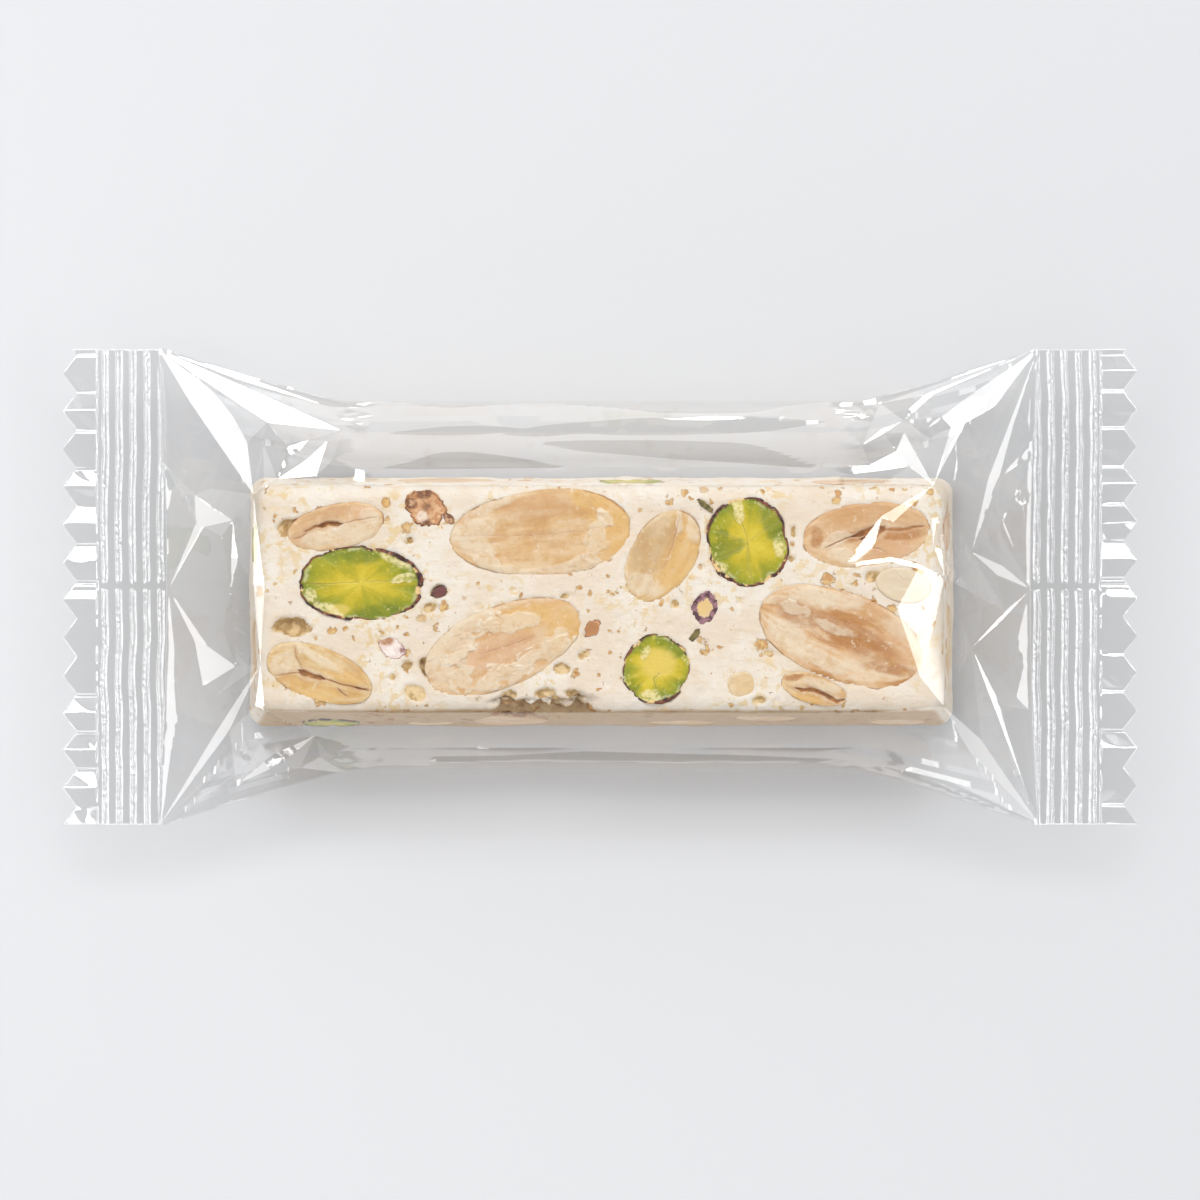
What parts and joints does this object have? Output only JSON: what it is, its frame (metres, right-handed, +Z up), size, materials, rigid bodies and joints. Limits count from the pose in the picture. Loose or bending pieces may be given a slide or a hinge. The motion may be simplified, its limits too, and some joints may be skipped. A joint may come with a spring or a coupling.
{
  "type": "nougat bar",
  "caption": "Soft white nougat bar with almonds and pistachios, lying in a clear sealed flow-pack with ridged end seals and zigzag edges.",
  "frame": {"origin": "middle of the underside of the pack, on the surface it lies on", "axes": "+X along the bar towards one end seal, +Y across the pack in the plane of the seals, +Z up out of the side that shows the nuts"},
  "size_m": [0.1388, 0.0616, 0.0184],
  "materials": {
    "film": "thin clear glossy film with creases",
    "nougat": "soft satin, finely pored",
    "almond": "cut and toasted, satin",
    "pistachio": "cut nut, satin",
    "nut_skin": "thin papery skin",
    "crumb": "toasted crumbs and flakes"
  },
  "bodies": {
    "root": {"wrapper": "film"}
  },
  "joints": []
}
